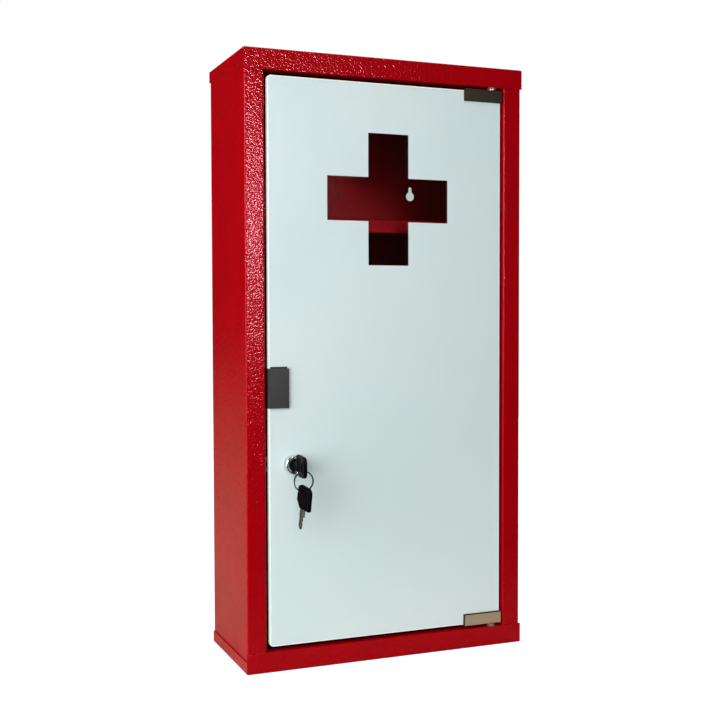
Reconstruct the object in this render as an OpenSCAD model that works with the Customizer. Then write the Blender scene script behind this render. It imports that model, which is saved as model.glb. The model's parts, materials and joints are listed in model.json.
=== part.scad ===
// Wall-hung lockable medicine cabinet: folded sheet-steel case with three fixed shelves,
// a frosted glass door on pivot clamps, a clip-on pull and a cam lock with two keys on a ring.
// Millimetres. X runs to the right, Y back to the wall, Z up.
// The origin is the middle of the underside.

/* [Case] */
// Overall width, over the end caps
case_w = 300; // [260:5:400]
// Overall height, over the end caps
case_h = 600; // [560:10:700]
// Overall depth
case_d = 125; // [110:5:180]
// Thickness of the sheet steel
sheet_t = 1.0; // [0.8:0.1:1.2]
// Outer radius of each bend in the sheet
bend_r = 1.6; // [1.5:0.1:2.4]
// Width of each front stile, from the side of the case to the door opening
stile_w = 20.5; // [18:0.5:26]
// Height of the front rails of the two end caps
rail_h = 20; // [18:0.5:26]
// How far the edges of the door opening turn back into the case
reveal_d = 12; // [11:0.5:14]
// Height of the end caps' lips over the sides
cap_lip = 12; // [8:0.5:16]

/* [Wall hanging] */
// Distance between the two hanging keyholes
keyhole_spacing = 157; // [100:1:200]
// From the top of the case down to the round part of a keyhole
keyhole_drop = 121.5; // [60:0.5:140]
// Radius of the round part, which the screw head passes
keyhole_r = 5; // [4:0.5:7]
// Radius of the neck above it, which holds the screw
keyhole_neck_r = 2; // [1.5:0.25:3]
// Rise of the neck's end above the round part
keyhole_rise = 8.5; // [7:0.5:14]

/* [Shelves] */
// Height of the top of the lowest shelf
first_shelf_z = 147.5; // [120:0.5:160]
// Height from one shelf to the next
shelf_pitch = 148; // [120:1:152]
// From the front of the case back to the shelves
shelf_setback = 30; // [26:1:60]
// Height of a shelf's front lip
shelf_lip = 13.5; // [10:0.5:20]
// Height of a shelf's side and rear flanges
shelf_flange = 11; // [8:0.5:16]
// Depth of the hem under a shelf's front lip
shelf_hem = 6; // [4:0.5:12]

/* [Door glass] */
// Thickness of the glass
glass_t = 5; // [4:0.5:6]
// How far the glass stands behind the front of the case
glass_recess = 2.5; // [2:0.25:4]
// Gap between the glass and each side of the opening
side_gap = 3.5; // [3:0.25:5]
// Radius of the glass's corners
glass_corner_r = 4; // [2:0.5:8]
// Width of the ground chamfer along the glass's edges
glass_arris = 0.6; // [0.3:0.1:1]
// Thickness of the frosted coat on the front of the glass
frost_t = 0.2; // [0.1:0.05:0.3]
// Bare margin between the frosted coat and the glass's edge
frost_margin = 1.2; // [1:0.1:2]
// Span of the clear cross in the frosted coat
cross_span = 130.5; // [90:1.5:160]
// Width of the arms of the cross
cross_arm = 43.5; // [25:0.5:55]
// From the top of the case down to the middle of the cross
cross_drop = 139; // [110:1:160]

/* [Pivot clamps] */
// Length of a clamp along the edge of the glass
clamp_l = 43; // [36:0.5:60]
// Height of a clamp's legs
clamp_h = 12; // [11:0.5:20]
// Thickness of the clamp's steel
clamp_t = 1.2; // [1:0.1:1.4]
// Outer radius of a clamp's folds and corners
clamp_fold_r = 1.8; // [1.5:0.1:2.2]
// Thickness of the rubber between metal and glass
liner_t = 0.8; // [0.6:0.1:1]
// How far the rubber shows past the metal
liner_proud = 1; // [0.5:0.25:2]
// From the edge of the opening to the pivot axis
pivot_inset = 12; // [11:0.5:16]
// Radius of a pivot pin
pin_r = 2.5; // [2:0.25:3]
// Length of a pivot pin in its bush
pin_l = 6; // [4:0.5:9]
// Thickness of the pin's collar
collar_t = 0.8; // [0.6:0.1:1.2]
// Thickness of the bush's flange
bush_flange_t = 1.6; // [1:0.1:2]
// Wall of the bush round the pin
bush_wall = 1; // [0.8:0.1:1.5]

/* [Pull] */
// Height of the clip-on pull
pull_h = 38.5; // [25:0.5:60]
// Width of the pull's face over the glass
pull_w = 20; // [15:0.5:30]
// Thickness of its two faces
pull_face_t = 2; // [1.6:0.2:3]
// Thickness of its web over the edge of the glass
pull_web_t = 1.2; // [0.8:0.1:2]
// Height of the middle of the pull
pull_z = 276; // [240:1:400]

/* [Lock] */
// Height of the lock's axis
lock_z = 201.5; // [190:0.5:215]
// From the edge of the glass to the lock's axis
lock_inset = 24.5; // [22:0.5:30]
// Radius of the bezel
bezel_r = 9.5; // [9.3:0.1:12]
// How far the bezel stands out
bezel_l = 7; // [5:0.5:10]
// Radius of the threaded barrel
barrel_r = 8; // [7.5:0.1:8.4]
// Radius of the turning plug
plug_r = 5.5; // [5:0.1:6]
// Thickness of the cam
cam_t = 2; // [1.5:0.25:3]
// Width of the cam
cam_w = 14.5; // [12:0.5:16]
// From the lock's axis to the end of the cam
cam_reach = 26.5; // [25.5:0.5:28]
// Depth of the fixed end of the strike plate over the glass's back
strike_space = 5.5; // [5:0.25:7]
// How far the strike plate reaches into the opening
strike_reach = 10.5; // [9:0.5:12]

/* [Keys] */
// Length of a key's plastic head
head_l = 22.5; // [20:0.5:30]
// Width of a key's head
head_w = 21; // [20:0.5:26]
// Thickness of a key's head
head_t = 3.6; // [3:0.2:4.5]
// Length of bare metal between head and lock
neck_l = 7.5; // [5:0.5:10]
// Length of the blade inside the lock
blade_l = 12.5; // [10:0.5:13]
// Width of the blade
blade_w = 5.5; // [4.5:0.25:6]
// Thickness of the blade
blade_t = 1.8; // [1.4:0.1:2]
// Outer radius of the key ring
ring_r = 10; // [9:0.5:14]
// Radius of the ring's wire
wire_r = 0.6; // [0.5:0.05:0.8]
// How far the hanging key is turned from the inserted one
spare_yaw = 16; // [0:1:25]
// How far the hanging key leans under the ring
spare_lean = 12; // [0:1:15]

/* [Hidden] */
$fn = 64;

// small clearances
run_gap = 0.05;     // a turning fit
free_gap = 0.3;     // a loose hole
seat_gap = 0.1;     // between faces that slide on each other
cut = 1;            // how far a cutter passes a face

// case
half_w = case_w / 2;
front = -case_d / 2;
back = case_d / 2;
wrap_half = half_w - sheet_t;               // outer face of the folded wrap
wrap_front = front + sheet_t;               // its stiles lie behind the caps' rails
open_half = half_w - stile_w;               // edge of the door opening
inner_half = wrap_half - sheet_t;           // inner face of a side
inner_back = back - sheet_t;
wrap_end = sheet_t + bend_r;                // the wrap stops short of the caps' bends
keyhole_z = case_h - keyhole_drop;

// door stack, front to back
glass_front = front + glass_recess;
glass_back = glass_front + glass_t;
frost_front = glass_front - frost_t;
glass_half = open_half - side_gap;
end_gap = bush_flange_t + seat_gap + collar_t + clamp_t + liner_t;
glass_low = rail_h + end_gap;
glass_high = case_h - glass_low;
pivot_x = open_half - pivot_inset;
pivot_y = (frost_front + glass_back) / 2;

// pivot clamps
clamp_right = glass_half + clamp_t + liner_t;
clamp_low = glass_low - liner_t - clamp_t;
clamp_front = frost_front - liner_t - clamp_t;
clamp_rear = glass_back + liner_t + clamp_t;
clamp_screw_r = 1.9;
clamp_screw_head_r = 3.2;
clamp_screw_head_l = 2;
clamp_screw_inset = 10;
tenon_r = pin_r - 0.5;
collar_r = pin_r + 1.3;
bush_r = pin_r + run_gap + bush_wall;
bush_flange_r = bush_r + 1;
bush_floor = 1;

// pull
pull_left = -glass_half - pull_web_t;
pull_front = frost_front - liner_t - pull_face_t;
pull_rear = glass_back + liner_t + pull_face_t;
pull_corner_r = pull_web_t + 1;
pull_screw_r = 2;
pull_screw_spacing = pull_h / 2;

// lock
lock_x = -glass_half + lock_inset;
gasket_t = 0.6;
washer_t = 0.8;
nut_t = 4;
nut_r = barrel_r + 3.6;
bezel_back = frost_front - gasket_t;
lock_face = bezel_back - bezel_l;
face_recess = 0.8;
plug_face = lock_face + face_recess;
strike_t = 1.2;
strike_front = glass_back + strike_space;
strike_back = strike_front + strike_t;
cam_front = strike_back + 0.8;
barrel_back = cam_front - 0.2;
tang_half = 3;
plug_back = cam_front + cam_t;
keyway_gap = 0.12;
keyway_l = blade_l + 0.8;
strike_h = cam_w;
strike_tail = 9;
rivet_r = 1.6;
bumper_r = 3.5;

// keys, drawn along X from the shoulder: tip towards +X, head towards -X
neck_w = blade_w + 1.6;
blade_tip = 3;
hole_r = 1.8;
hole_half = 2.6;                            // from the middle of the hole to its round ends
hole_x = -neck_l - head_l + 6;
head_up = 1;                                // the head's middle, above the blade's
head_low = head_up - head_w / 2;
hole_margin = -head_low - hole_half - hole_r;
margin_y = head_low + hole_margin / 2;
ring_inner = ring_r - 2 * wire_r;
ring_lift = sqrt(pow(hole_margin / 2, 2) + pow(head_t / 2, 2)) + 0.1;
ring_mid_y = margin_y + ring_lift - ring_inner;
wire_pitch = 1.1;                           // between the two turns of the ring
ring_y = plug_face + hole_x;
ring_z = lock_z + ring_mid_y;
spare_hang = 0.6;                           // between the hole's edge and the wire
spare_hole_y = 2.0;
spare_wire_x = hole_x - hole_r + wire_r + spare_hang;
ring_low_z = ring_z - ring_r + wire_r;

// ---- sheet-metal shapes ----

// a rectangle whose corner at the origin is rounded
module one_round_corner(a, b, r) {
    translate([r, 0]) square([a - r, b]);
    translate([0, r]) square([a, b - r]);
    translate([r, r]) circle(r);
}

// two legs of sheet that meet in a bend at the origin
module fold(a, b) {
    intersection() {
        difference() {
            one_round_corner(a + bend_r, b + bend_r, bend_r);
            translate([sheet_t, sheet_t])
                one_round_corner(a + bend_r, b + bend_r, bend_r - sheet_t);
        }
        square([a, b]);
    }
}

// solid block with bends along its upper front and side edges, smaller by inset all round
module tray_block(half, y0, y1, top, drop, inset) {
    r = bend_r - inset;
    intersection() {
        rotate([90, 0, 0]) translate([0, 0, -y1]) linear_extrude(y1 - y0)
            for (side = [0, 1]) mirror([side, 0])
                translate([half - inset, top - inset]) rotate(180)
                    one_round_corner(half - inset + 0.01, drop, r);
        rotate([90, 0, 90]) translate([0, 0, -half]) linear_extrude(2 * half)
            translate([y0 + inset, top - inset]) mirror([0, 1])
                one_round_corner(y1 - y0, drop, r);
    }
}

// top sheet, front flange and side flanges, folded from one sheet
module tray(half, y0, y1, top, front_drop, side_drop) {
    deep = max(front_drop, side_drop);
    difference() {
        tray_block(half, y0, y1, top, deep, 0);
        tray_block(half, y0, y1 + cut, top, deep + cut, sheet_t);
        translate([-half - cut, y0 + sheet_t, top - deep - cut])
            cube([2 * (half + cut), y1 - y0 + cut, deep - side_drop + cut]);
        translate([-half - cut, y0 - cut, top - deep - cut])
            cube([2 * (half + cut), y1 - y0, deep - front_drop + cut]);
    }
}

// ---- case ----

module wrap_outline() {
    for (side = [0, 1]) mirror([side, 0]) {
        // stile and side
        translate([wrap_half, wrap_front]) mirror([1, 0]) fold(stile_w - sheet_t - bend_r, case_d / 2);
        // side and back
        translate([wrap_half, back]) rotate(180) fold(wrap_half + 0.01, case_d / 2);
        // stile and the edge of the opening
        translate([open_half, wrap_front]) fold(stile_w / 2, reveal_d - sheet_t);
    }
}

module keyhole() {
    rotate([90, 0, 0]) translate([0, 0, -back - cut]) linear_extrude(sheet_t + 2 * cut) {
        circle(keyhole_r);
        translate([-keyhole_neck_r, 0]) square([2 * keyhole_neck_r, keyhole_rise]);
        translate([0, keyhole_rise]) circle(keyhole_neck_r);
    }
}

module rivet_places() {
    for (dz = [-1, 1]) translate([-open_half, wrap_front + reveal_d / 2, lock_z + dz * strike_h / 4])
        rotate([0, -90, 0]) children();
}

module cabinet_wrap() {
    color("#a4000d") difference() {
        translate([0, 0, wrap_end]) linear_extrude(case_h - 2 * wrap_end) wrap_outline();
        for (side = [-1, 1]) translate([side * keyhole_spacing / 2, 0, keyhole_z]) keyhole();
        rivet_places() translate([0, 0, -cut]) cylinder(r = rivet_r, h = sheet_t + 2 * cut);
    }
}

// the cap as it sits on top of the case
module cap() {
    difference() {
        union() {
            tray(half_w, front, back, case_h, rail_h, cap_lip);
            // edge of the opening, turned back under the rail
            rotate([90, 0, 90]) translate([0, 0, -open_half]) linear_extrude(2 * open_half)
                translate([front, case_h - rail_h]) fold(reveal_d, rail_h / 2);
            // rear flange, inside the back
            translate([-inner_half + bend_r, inner_back - sheet_t, case_h - cap_lip])
                cube([2 * (inner_half - bend_r), sheet_t, cap_lip - sheet_t / 2]);
        }
        translate([pivot_x, pivot_y, case_h - rail_h - cut]) cylinder(r = bush_r, h = sheet_t + 2 * cut);
    }
}

module top_cap() { color("#a4000d") cap(); }
module bottom_cap() { color("#a4000d") translate([0, 0, case_h]) mirror([0, 0, 1]) cap(); }

module shelf(index) {
    top = first_shelf_z + index * shelf_pitch;
    y0 = front + shelf_setback;
    // notched at the rear corners, clear of the bends of the case
    tray(inner_half, y0, inner_back - bend_r, top, shelf_lip, shelf_flange);
    translate([-inner_half + bend_r, inner_back - 2 * bend_r, top - sheet_t])
        cube([2 * (inner_half - bend_r), 2 * bend_r, sheet_t]);
    // hem under the lip
    rotate([90, 0, 90]) translate([0, 0, -inner_half + bend_r]) linear_extrude(2 * (inner_half - bend_r))
        translate([y0, top - shelf_lip]) fold(shelf_hem, shelf_lip / 2);
    // rear flange
    translate([-inner_half + bend_r, inner_back - sheet_t, top - shelf_flange])
        cube([2 * (inner_half - bend_r), sheet_t, shelf_flange - sheet_t / 2]);
}

module upper_shelf() { color("#9c000c") shelf(2); }
module middle_shelf() { color("#9c000c") shelf(1); }
module lower_shelf() { color("#9c000c") shelf(0); }

// angle behind the stile: the door closes on its pad, and the cam turns in behind it
module strike_plate() {
    color("#8d8478") difference() {
        translate([-open_half - sheet_t - strike_t, 0, lock_z - strike_h / 2]) {
            translate([0, strike_front, 0]) cube([strike_t + sheet_t + strike_reach, strike_t, strike_h]);
            translate([0, strike_front - strike_tail, 0]) cube([strike_t, strike_tail + strike_t / 2, strike_h]);
        }
        rivet_places() translate([0, 0, sheet_t - cut]) cylinder(r = rivet_r, h = strike_t + 2 * cut);
    }
}

module strike_rivets() {
    color("#8d8478") rivet_places() {
        translate([0, 0, -0.8]) cylinder(r1 = rivet_r, r2 = rivet_r * 1.7, h = 0.8);
        cylinder(r = rivet_r, h = sheet_t + strike_t);
        translate([0, 0, sheet_t + strike_t]) cylinder(r = rivet_r * 1.5, h = 0.9);
    }
}

module door_bumper() {
    color("#2a2a2a") translate([-open_half + strike_reach - bumper_r, strike_front, lock_z])
        rotate([90, 0, 0]) {
            cylinder(r = bumper_r, h = strike_space - 1.5);
            translate([0, 0, strike_space - 1.5]) cylinder(r1 = bumper_r, r2 = bumper_r - 1, h = 1.2);
        }
}

// ---- pivots; upper ones are the lower ones turned over ----

module at_both_ends(upper) {
    translate([0, 0, upper ? case_h : 0]) mirror([0, 0, upper ? 1 : 0]) children();
}

module bush() {
    color("#d9d6cc") translate([pivot_x, pivot_y, rail_h]) difference() {
        union() {
            cylinder(r = bush_flange_r, h = bush_flange_t);
            translate([0, 0, -pin_l - bush_floor]) cylinder(r = bush_r, h = pin_l + bush_floor + 0.1);
        }
        translate([0, 0, -pin_l]) cylinder(r = pin_r + run_gap, h = pin_l + bush_flange_t + cut);
    }
}

module pivot_pin() {
    color("#b9b2a4") translate([pivot_x, pivot_y, rail_h + bush_flange_t + seat_gap]) {
        cylinder(r = collar_r, h = collar_t);
        cylinder(r = tenon_r, h = collar_t + clamp_t);
        translate([0, 0, -bush_flange_t - pin_l + 0.4]) cylinder(r = pin_r, h = bush_flange_t + pin_l);
    }
}

// screws of a clamp, from the liner out through its rear leg
module clamp_screw_places() {
    for (x = [clamp_screw_inset, clamp_l - clamp_screw_inset])
        translate([clamp_right - x, glass_back + liner_t, clamp_low + clamp_h / 2 + 0.5])
            rotate([-90, 0, 0]) children();
}

// outside of the clamp, or its inside when drawn smaller by inset all round
module clamp_block(inset, over) {
    r = clamp_fold_r - inset;
    y0 = clamp_front + inset;
    depth = clamp_rear - clamp_front - 2 * inset;
    intersection() {
        // seen along the edge of the glass: two folds at the bottom
        rotate([90, 0, 90]) translate([0, 0, clamp_right - clamp_l - over]) linear_extrude(clamp_l + over - inset)
            translate([y0, clamp_low + inset]) {
                translate([r, 0]) square([depth - 2 * r, clamp_h + over]);
                translate([0, r]) square([depth, clamp_h + over]);
                for (y = [r, depth - r]) translate([y, r]) circle(r);
            }
        // seen from above: two rounded corners at the closed end
        translate([clamp_right - clamp_l - over, y0, clamp_low + inset]) linear_extrude(clamp_h + over - inset) {
            square([clamp_l + over - inset - r, depth]);
            translate([0, r]) square([clamp_l + over - inset, depth - 2 * r]);
            for (y = [r, depth - r]) translate([clamp_l + over - inset - r, y]) circle(r);
        }
    }
}

module clamp() {
    color("#96907f") difference() {
        clamp_block(0, 0);
        clamp_block(clamp_t, cut);
        translate([pivot_x, pivot_y, clamp_low - cut]) cylinder(r = tenon_r, h = clamp_t + 2 * cut);
        clamp_screw_places() translate([0, 0, -cut]) cylinder(r = clamp_screw_r + 0.1, h = clamp_t + 2 * cut);
    }
}

// rubber channel round the edge of the glass, inside the clamp
module clamp_liner() {
    length = clamp_l + liner_proud - clamp_t - liner_t;
    color("#1c1c1c") difference() {
        clamp_block(clamp_t, liner_proud);
        translate([glass_half - length - cut, frost_front, glass_low])
            cube([length + cut, glass_back - frost_front, clamp_h + liner_proud]);
    }
}

module clamp_screws() {
    color("#b9b2a4") clamp_screw_places() {
        cylinder(r = clamp_screw_r, h = clamp_t + 0.1);
        translate([0, 0, clamp_t]) difference() {
            cylinder(r = clamp_screw_head_r, h = clamp_screw_head_l);
            translate([0, 0, clamp_screw_head_l]) cube([0.8, 2 * clamp_screw_head_r + 1, 1.6], center = true);
        }
    }
}

module upper_bush() { at_both_ends(true) bush(); }
module lower_bush() { at_both_ends(false) bush(); }
module upper_pivot_pin() { at_both_ends(true) pivot_pin(); }
module lower_pivot_pin() { at_both_ends(false) pivot_pin(); }
module upper_clamp() { at_both_ends(true) clamp(); }
module lower_clamp() { at_both_ends(false) clamp(); }
module upper_clamp_liner() { at_both_ends(true) clamp_liner(); }
module lower_clamp_liner() { at_both_ends(false) clamp_liner(); }
module upper_clamp_screws() { at_both_ends(true) clamp_screws(); }
module lower_clamp_screws() { at_both_ends(false) clamp_screws(); }

// ---- door ----

// the pane seen from the front, smaller by inset all round
module glass_outline(inset) {
    r = glass_corner_r - inset;
    w = 2 * (glass_half - inset);
    h = glass_high - glass_low - 2 * inset;
    translate([-glass_half + inset, glass_low + inset]) {
        translate([r, 0]) square([w - 2 * r, h]);
        translate([0, r]) square([w, h - 2 * r]);
        for (x = [r, w - r], z = [r, h - r]) translate([x, z]) circle(r);
    }
}

module pane(y, t, inset) {
    translate([0, y + t, 0]) rotate([90, 0, 0]) linear_extrude(t) difference() {
        glass_outline(inset);
        translate([lock_x, lock_z]) circle(barrel_r + free_gap);
        children();
    }
}

// section of the pane across a span from low to high, with its four corners ground off
module arris_section(low, high) {
    a = glass_arris;
    polygon([[low + a, glass_front], [high - a, glass_front], [high, glass_front + a], [high, glass_back - a],
        [high - a, glass_back], [low + a, glass_back], [low, glass_back - a], [low, glass_front + a]]);
}

module door_glass() {
    color("#cfe3dc", 0.45) intersection() {
        pane(glass_front, glass_t, 0);
        translate([0, 0, glass_low - cut]) linear_extrude(glass_high - glass_low + 2 * cut)
            arris_section(-glass_half, glass_half);
        rotate([90, 0, 90]) translate([0, 0, -glass_half - cut]) linear_extrude(2 * (glass_half + cut))
            mirror([1, 0]) rotate(90) arris_section(glass_low, glass_high);
    }
}

module frost_coat() {
    color("#cfd9d6") pane(frost_front, frost_t, frost_margin)
        translate([0, case_h - cross_drop]) {
            square([cross_span, cross_arm], center = true);
            square([cross_arm, cross_span], center = true);
        }
}

// clip over the left edge of the glass, with a rounded front corner
module pull_outline() {
    depth = pull_rear - pull_front;
    difference() {
        translate([pull_left, pull_front]) one_round_corner(pull_web_t + pull_w, depth, pull_corner_r);
        translate([-glass_half, pull_front + pull_face_t])
            square([pull_w + cut, depth - 2 * pull_face_t]);
    }
}

module pull_screw_places() {
    for (side = [-1, 1])
        translate([-glass_half + pull_w * 0.6, glass_back + liner_t, pull_z + side * pull_screw_spacing / 2])
            rotate([-90, 0, 0]) children();
}

module pull_clip() {
    color("#3b3b3d") difference() {
        translate([0, 0, pull_z - pull_h / 2]) linear_extrude(pull_h) pull_outline();
        pull_screw_places() translate([0, 0, -cut]) cylinder(r = pull_screw_r, h = pull_face_t + 2 * cut);
    }
}

module pull_liners() {
    color("#1c1c1c") for (y = [frost_front - liner_t, glass_back])
        translate([-glass_half + 1.5, y, pull_z - pull_h / 2 + 1])
            cube([pull_w - 3, liner_t, pull_h - 1 + 1.5 * liner_proud]);
}

module pull_screws() {
    color("#b9b2a4") pull_screw_places() difference() {
        cylinder(r = pull_screw_r, h = pull_face_t + 0.6);
        translate([0, 0, 1]) cylinder(r = 1, h = pull_face_t, $fn = 6);
    }
}

// ---- lock ----

// places a shape drawn along +Z from the lock's face, running back into the door
module on_lock_axis(y) {
    translate([lock_x, y, lock_z]) rotate([-90, 0, 0]) children();
}

module lock_barrel() {
    bore = plug_r + run_gap;
    inner_l = barrel_back - plug_face;
    color("#c9cacc") on_lock_axis(lock_face) difference() {
        union() {
            rotate_extrude($fn = 96) difference() {
                union() {
                    square([bezel_r - 1.5, bezel_l]);
                    translate([0, 1.5]) square([bezel_r, bezel_l - 1.5]);
                    translate([bezel_r - 1.5, 1.5]) circle(1.5, $fn = 32);
                }
                translate([-bezel_r, 0]) square([bezel_r, bezel_l]);
            }
            translate([0, 0, bezel_l - 0.1]) cylinder(r = barrel_r, h = barrel_back - bezel_back + 0.1);
        }
        translate([0, 0, -cut]) cylinder(r = bezel_r - 2, h = cut + face_recess);
        translate([0, 0, -cut]) cylinder(r = bore, h = inner_l + 3 * cut);
    }
}

module lock_gasket() {
    color("#1c1c1c") on_lock_axis(bezel_back) difference() {
        cylinder(r = bezel_r - 0.2, h = gasket_t);
        translate([0, 0, -cut]) cylinder(r = barrel_r, h = gasket_t + 2 * cut);
    }
}

module lock_washer() {
    color("#3a3a38") on_lock_axis(glass_back) difference() {
        cylinder(r = nut_r + 0.6, h = washer_t);
        translate([0, 0, -cut]) cylinder(r = barrel_r, h = washer_t + 2 * cut);
    }
}

module lock_nut() {
    color("#b5b7b9") on_lock_axis(glass_back + washer_t) difference() {
        intersection() {
            cylinder(r = nut_r, h = nut_t, $fn = 6);
            cylinder(r = nut_r - 0.3, h = nut_t);
        }
        translate([0, 0, -cut]) cylinder(r = barrel_r, h = nut_t + 2 * cut);
    }
}

// plug with a keyway in front and a square tang behind
module lock_plug() {
    color("#2d2d30") on_lock_axis(plug_face) difference() {
        union() {
            cylinder(r = plug_r, h = barrel_back - plug_face + 0.1);
            translate([-tang_half, -tang_half, 0]) cube([2 * tang_half, 2 * tang_half, plug_back - plug_face]);
        }
        translate([-blade_t / 2 - keyway_gap, -blade_w / 2 - keyway_gap, -cut])
            cube([blade_t + 2 * keyway_gap, blade_w + 2 * keyway_gap, keyway_l + cut]);
    }
}

// hangs straight down while unlocked; a quarter turn puts it behind the strike plate
module lock_cam() {
    color("#a9a59b") on_lock_axis(cam_front) difference() {
        union() {
            cylinder(r = cam_w / 2, h = cam_t);
            translate([-cam_w / 2, 0, 0]) cube([cam_w, cam_reach - 2, cam_t]);
            translate([-cam_w / 2 + 2, 0, 0]) cube([cam_w - 4, cam_reach, cam_t]);
            for (x = [-1, 1]) translate([x * (cam_w / 2 - 2), cam_reach - 2, 0]) cylinder(r = 2, h = cam_t);
        }
        translate([-tang_half, -tang_half, -cut]) cube([2 * tang_half, 2 * tang_half, cam_t + 2 * cut]);
    }
}

module cam_screw() {
    color("#b9b2a4") on_lock_axis(plug_back) difference() {
        union() {
            cylinder(r = tang_half * 1.9, h = 0.8);
            translate([0, 0, 0.8]) cylinder(r = tang_half * 1.3, h = 2);
        }
        for (turn = [0, 90]) rotate(turn) translate([0, 0, 2.8]) cube([0.8, 3.6, 2], center = true);
    }
}

// ---- keys ----

module key_metal() {
    // the spine runs into the head; both edges of the blade are cut
    linear_extrude(blade_t, center = true) difference() {
        union() {
            translate([-neck_l, -neck_w / 2]) square([neck_l - 0.4, neck_w]);
            translate([-neck_l, -blade_w / 2]) square([neck_l + blade_l - blade_tip, blade_w]);
            polygon([[blade_l - blade_tip - 0.1, -blade_w / 2], [blade_l, -0.8], [blade_l, 0.8],
                [blade_l - blade_tip - 0.1, blade_w / 2]]);
        }
        for (i = [0 : 3], side = [-1, 1])
            translate([2 + i * (blade_l - blade_tip - 2) / 4, side * blade_w / 2]) rotate(45)
                square(0.9 + 0.25 * ((i * 2 + side + 1) % 3), center = true);
    }
}

module key_grip() {
    ribs = 4;
    rib_pitch = 2.2;
    x0 = -neck_l - head_l;
    difference() {
        linear_extrude(head_t, center = true) hull() {
            translate([-neck_l - 2, head_low + head_w - 2]) circle(2, $fn = 32);
            translate([-neck_l - 1, -neck_w / 2]) circle(1, $fn = 32);
            translate([-neck_l - head_l * 0.36, head_low + 3]) circle(3, $fn = 32);
            translate([x0 + 4.5, head_low + 4.5]) circle(4.5, $fn = 32);
            translate([x0 + 5.5, head_low + head_w - 6.5]) circle(5.5, $fn = 32);
        }
        // hole for the ring
        translate([hole_x, 0, -head_t]) linear_extrude(2 * head_t) {
            square([2 * hole_r, 2 * hole_half], center = true);
            for (side = [-1, 1]) translate([0, side * hole_half]) circle(hole_r);
        }
        // grip grooves across both faces
        for (i = [0 : ribs - 1], side = [-1, 1])
            translate([-neck_l - 3 - i * rib_pitch, head_up, side * head_t / 2])
                cube([1, head_w * 0.5 + i, 0.7], center = true);
    }
}

// an inserted key points back along the lock's axis, its head upright
module in_the_lock() { translate([lock_x, plug_face, lock_z]) rotate(a = 120, v = [1, 1, 1]) children(); }

// the spare key hangs from the lowest part of the ring, the wider side of its head to the front
module on_the_ring() {
    translate([lock_x, ring_y, ring_low_z]) rotate([0, 0, spare_yaw]) rotate([spare_lean, 0, 0])
        rotate([0, 90, 0]) translate([-spare_wire_x, -spare_hole_y, 0]) rotate([180, 0, 0]) children();
}

module key_blade() { color("#b9bab8") in_the_lock() key_metal(); }
module key_head() { color("#17171a") in_the_lock() key_grip(); }
module spare_key_blade() { color("#b9bab8") on_the_ring() key_metal(); }
module spare_key_head() { color("#17171a") on_the_ring() key_grip(); }

// split ring: two turns of wire side by side
module key_ring() {
    color("#b9bab8") translate([lock_x, ring_y, ring_z]) rotate([90, 0, 0]) rotate_extrude($fn = 96)
        translate([ring_r - wire_r, 0]) {
            for (side = [-1, 1]) translate([0, side * wire_pitch / 2]) circle(wire_r, $fn = 24);
            square([wire_r, wire_pitch], center = true);
        }
}

cabinet_wrap();
top_cap();
bottom_cap();
upper_shelf();
middle_shelf();
lower_shelf();
strike_plate();
strike_rivets();
door_bumper();
upper_bush();
lower_bush();
door_glass();
frost_coat();
upper_clamp();
lower_clamp();
upper_clamp_liner();
lower_clamp_liner();
upper_clamp_screws();
lower_clamp_screws();
upper_pivot_pin();
lower_pivot_pin();
pull_clip();
pull_liners();
pull_screws();
lock_barrel();
lock_gasket();
lock_washer();
lock_nut();
lock_plug();
lock_cam();
cam_screw();
key_blade();
key_head();
key_ring();
spare_key_blade();
spare_key_head();
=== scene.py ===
import json
import math

import bpy
import numpy as np
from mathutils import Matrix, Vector


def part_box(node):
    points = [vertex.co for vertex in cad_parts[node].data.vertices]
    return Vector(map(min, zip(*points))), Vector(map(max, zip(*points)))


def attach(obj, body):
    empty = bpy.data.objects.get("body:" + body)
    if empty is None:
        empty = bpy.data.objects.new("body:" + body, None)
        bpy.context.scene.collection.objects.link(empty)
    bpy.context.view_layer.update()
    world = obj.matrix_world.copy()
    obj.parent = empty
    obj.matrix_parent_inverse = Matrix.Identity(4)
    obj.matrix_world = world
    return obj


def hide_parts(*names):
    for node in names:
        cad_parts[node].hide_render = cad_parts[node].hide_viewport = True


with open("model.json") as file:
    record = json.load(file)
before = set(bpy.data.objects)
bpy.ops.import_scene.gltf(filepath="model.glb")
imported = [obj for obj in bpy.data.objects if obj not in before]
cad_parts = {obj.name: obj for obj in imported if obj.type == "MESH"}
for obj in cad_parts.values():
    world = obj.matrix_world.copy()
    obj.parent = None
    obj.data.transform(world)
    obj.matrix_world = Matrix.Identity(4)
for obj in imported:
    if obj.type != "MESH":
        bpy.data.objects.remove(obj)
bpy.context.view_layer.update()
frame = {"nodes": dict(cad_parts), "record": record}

scene = bpy.context.scene
mm = 0.001


# colours and small helpers

def linearColour(hexCode):
    # each sRGB channel goes through the standard curve to linear light
    channels = [int(hexCode[i:i + 2], 16) / 255 for i in (1, 3, 5)]
    return [c / 12.92 if c <= 0.04045 else ((c + 0.055) / 1.055) ** 2.4 for c in channels] + [1.0]


def addNode(tree, kind, links=None, stops=(), **settings):
    # links maps an input to the output socket that feeds it, or to a plain value; stops are
    # the places and colours of a ramp
    node = tree.nodes.new(kind)
    for key, value in settings.items():
        setattr(node, key, value)
    for key, value in (links or {}).items():
        socket = node.inputs[key]
        if isinstance(value, bpy.types.NodeSocket):
            tree.links.new(value, socket)
        else:
            socket.default_value = value
    if stops:
        points = node.color_ramp.elements
        while len(points) < len(stops):
            points.new(0.5)
        for point, (place, colour) in zip(points, stops):
            point.position, point.color = place, linearColour(colour)
    return node


def newMaterial(name):
    material = bpy.data.materials.new(name)
    material.use_nodes = True
    material.node_tree.nodes.clear()
    return material, material.node_tree


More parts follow.
